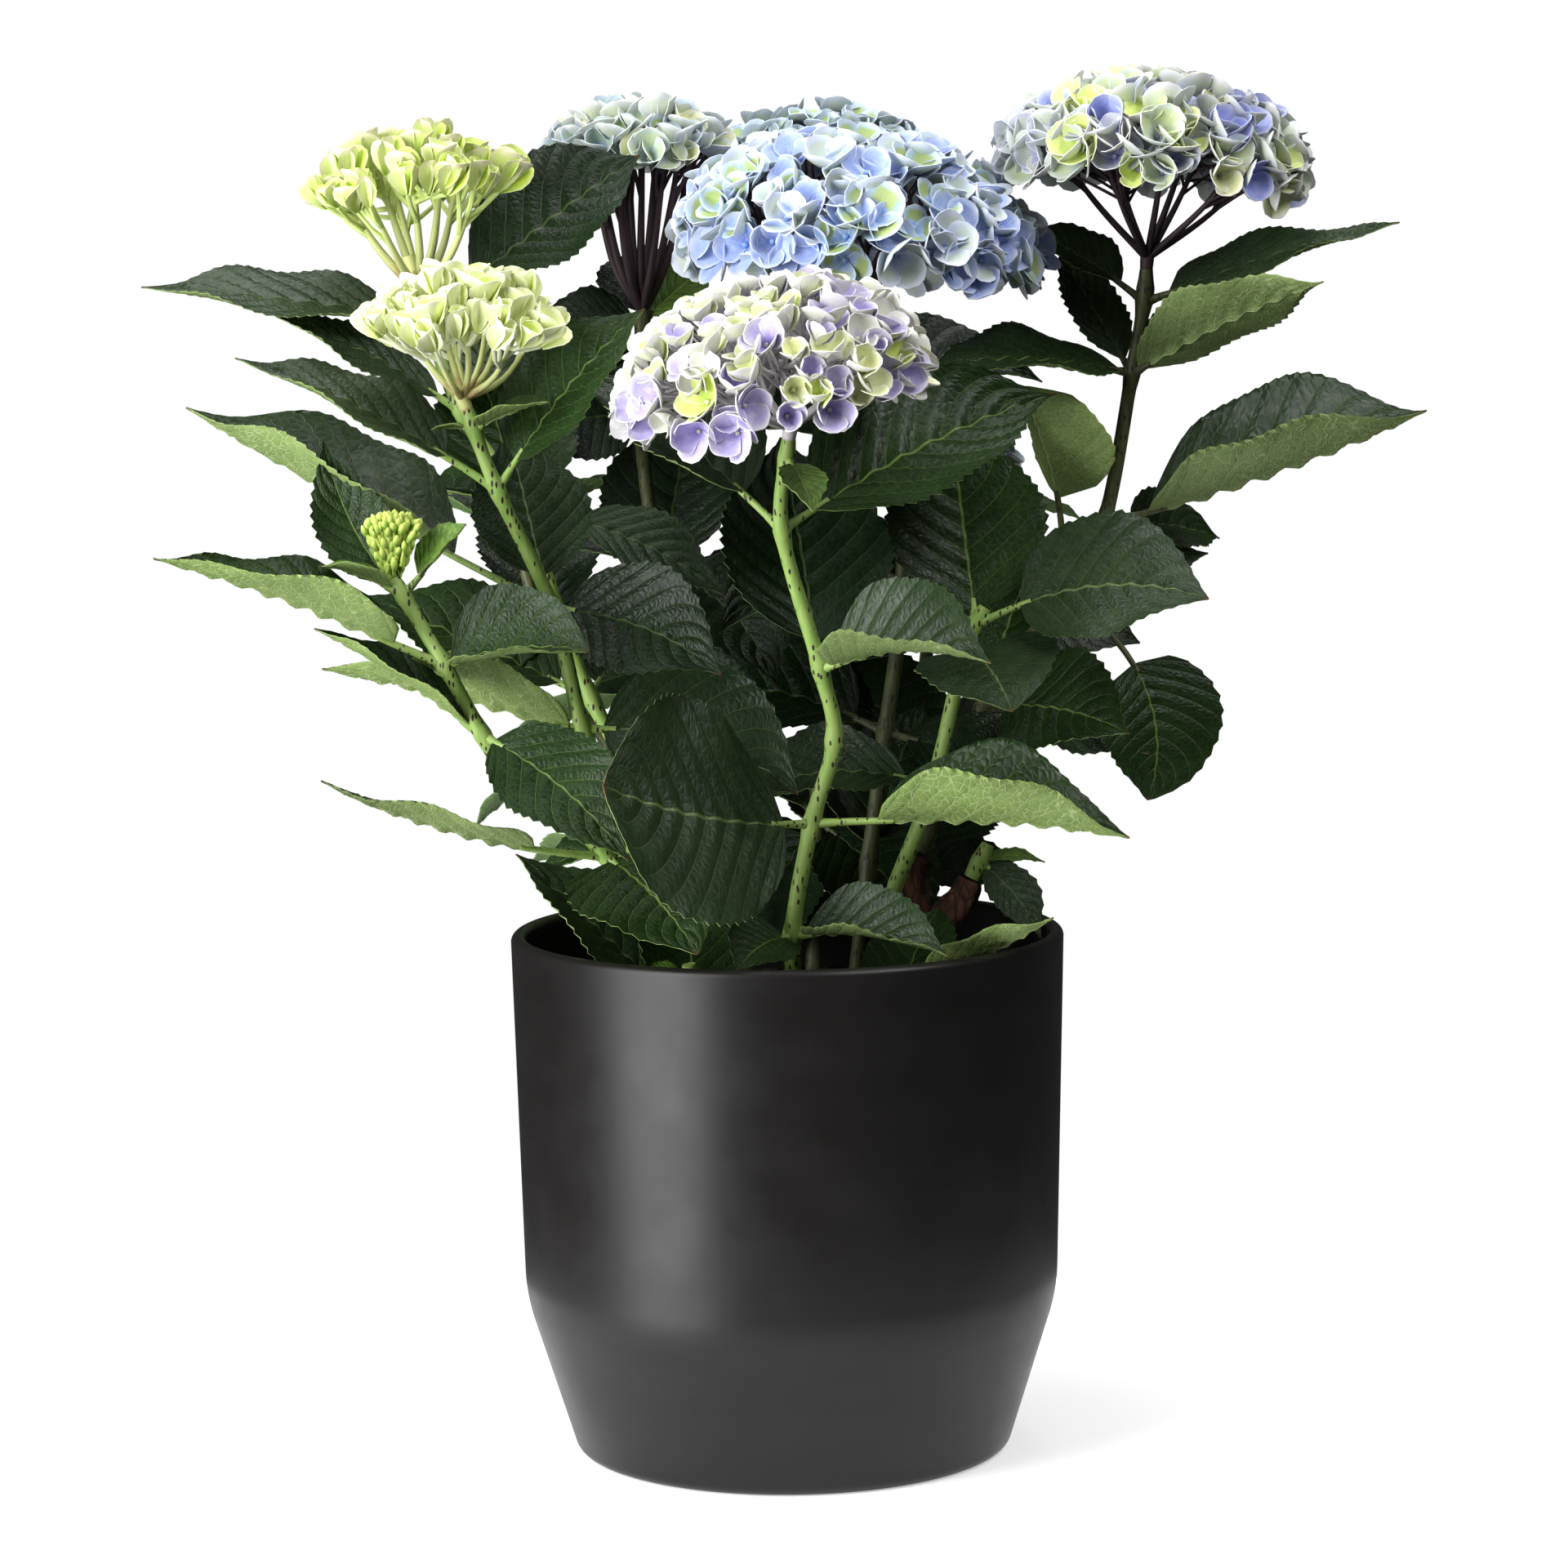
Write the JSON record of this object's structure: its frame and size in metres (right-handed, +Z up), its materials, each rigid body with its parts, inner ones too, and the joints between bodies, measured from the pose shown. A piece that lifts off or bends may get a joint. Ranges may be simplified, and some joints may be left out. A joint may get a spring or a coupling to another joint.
{
  "type": "potted hydrangea shrub",
  "caption": "Hydrangea shrub with upright leafy stems under domed flower heads, standing in a round two-stage plant pot filled with soil.",
  "frame": {"origin": "middle of the pot's flat underside", "axes": "+Z up along the pot's axis; -Y is the plant's front, +X its right seen from the front"},
  "size_m": [0.505, 0.3791, 0.5525],
  "materials": {
    "bloom_blue": "sky blue florets with pale rims",
    "bloom_grey_blue": "muted blue-green florets",
    "bloom_lilac": "creamy florets with lavender hearts",
    "bloom_lime_back": "lime florets with pale backs",
    "bloom_lime_front": "pale lime florets",
    "bloom_pale": "greenish white florets",
    "bloom_rear_right": "muted blue florets",
    "bloom_violet": "grey-violet and pale green florets",
    "bud": "lime-yellow closed buds",
    "foliage": "dark green leaves, glossy above and matte light green below",
    "pot": "matte black glaze",
    "soil": "dark moist peat",
    "stem": "smooth green bark with small dark dashes",
    "wood": "rough dark reddish-brown bark"
  },
  "bodies": {
    "root": {"bloom_blue": "bloom_blue", "bloom_grey_blue": "bloom_grey_blue", "bloom_lilac": "bloom_lilac", "bloom_lime_back": "bloom_lime_back", "bloom_lime_front": "bloom_lime_front", "bloom_pale": "bloom_pale", "bloom_rear_right": "bloom_rear_right", "bloom_violet": "bloom_violet", "bud_head": "bud", "foliage_blue": "foliage", "foliage_bud": "foliage", "foliage_grey_blue": "foliage", "foliage_lilac": "foliage", "foliage_lime_back": "foliage", "foliage_lime_front": "foliage", "foliage_low_left": "foliage", "foliage_low_right": "foliage", "foliage_pale": "foliage", "foliage_rear_left": "foliage", "foliage_rear_right": "foliage", "foliage_right_leafy": "foliage", "foliage_stub": "foliage", "foliage_violet": "foliage", "old_wood": "wood", "pot": "pot", "soil": "soil", "stem_blue": "stem", "stem_bud": "stem", "stem_grey_blue": "stem", "stem_lilac": "stem", "stem_lime_back": "stem", "stem_lime_front": "stem", "stem_pale": "stem", "stem_rear_left": "stem", "stem_rear_right": "stem", "stem_right_leafy": "stem", "stem_violet": "stem"}
  },
  "joints": []
}
